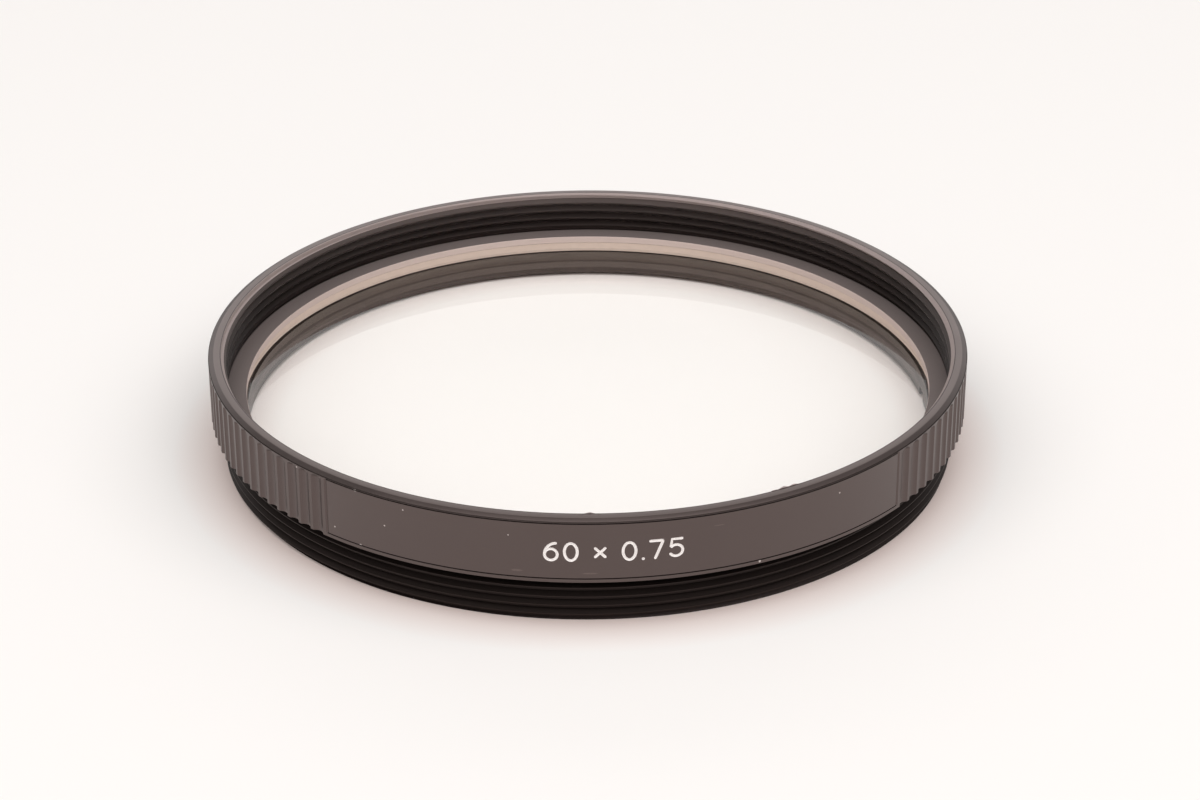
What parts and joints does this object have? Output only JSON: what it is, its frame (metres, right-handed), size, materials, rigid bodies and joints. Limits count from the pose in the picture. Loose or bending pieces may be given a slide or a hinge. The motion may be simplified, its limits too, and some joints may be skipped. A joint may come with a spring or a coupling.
{
  "type": "uv filter",
  "caption": "Round screw-in lens filter: black fluted metal ring with a male thread, a female front thread and a clear glass.",
  "frame": {"origin": "on the ring's axis, at the lower end of the male thread, which the filter lies on", "axes": "+Z along the ring's axis, out of the front; the smooth marked field faces -Y; +X to its right"},
  "size_m": [0.062, 0.062, 0.0092],
  "materials": {
    "black_ring": "black anodised, satin, turned",
    "clear_glass": "polished faces, fine ground edge",
    "black_retainer": "black anodised, matt"
  },
  "bodies": {
    "root": {"filter_ring": "black_ring", "glass_disc": "clear_glass", "retaining_ring": "black_retainer"}
  },
  "joints": []
}
